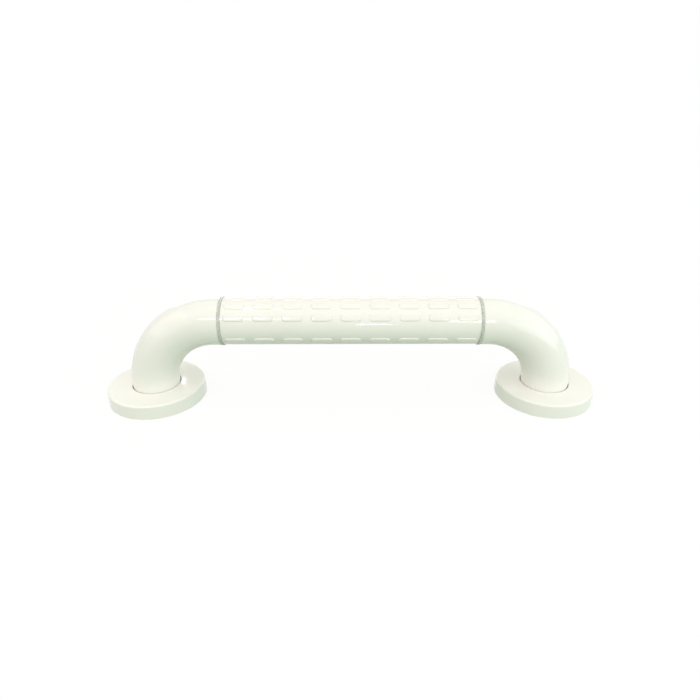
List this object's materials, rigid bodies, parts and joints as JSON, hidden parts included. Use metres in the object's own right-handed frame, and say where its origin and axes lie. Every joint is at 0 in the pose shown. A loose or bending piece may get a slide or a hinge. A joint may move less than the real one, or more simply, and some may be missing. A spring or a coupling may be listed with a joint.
{
  "type": "grab bar",
  "caption": "Short straight wall grab bar: a bent steel tube clad in ivory plastic, with a padded grip sleeve, grey-green joint rings, smooth elbows and round wall covers.",
  "frame": {"origin": "on the wall plane, midway between the two feet", "axes": "+X along the bar, +Z away from the wall into the room, +Y across the bar"},
  "size_m": [0.3728, 0.0728, 0.0799],
  "materials": {
    "ivory_plastic": "moulded gloss",
    "ring_plastic": "grainy satin",
    "steel": "brushed"
  },
  "bodies": {
    "root": {"core_tube": "steel", "base_plate_left": "steel", "base_plate_right": "steel", "grip_sleeve": "ivory_plastic", "elbow_left": "ivory_plastic", "elbow_right": "ivory_plastic", "cover_left": "ivory_plastic", "cover_right": "ivory_plastic", "joint_ring_left": "ring_plastic", "joint_ring_right": "ring_plastic"}
  },
  "joints": []
}
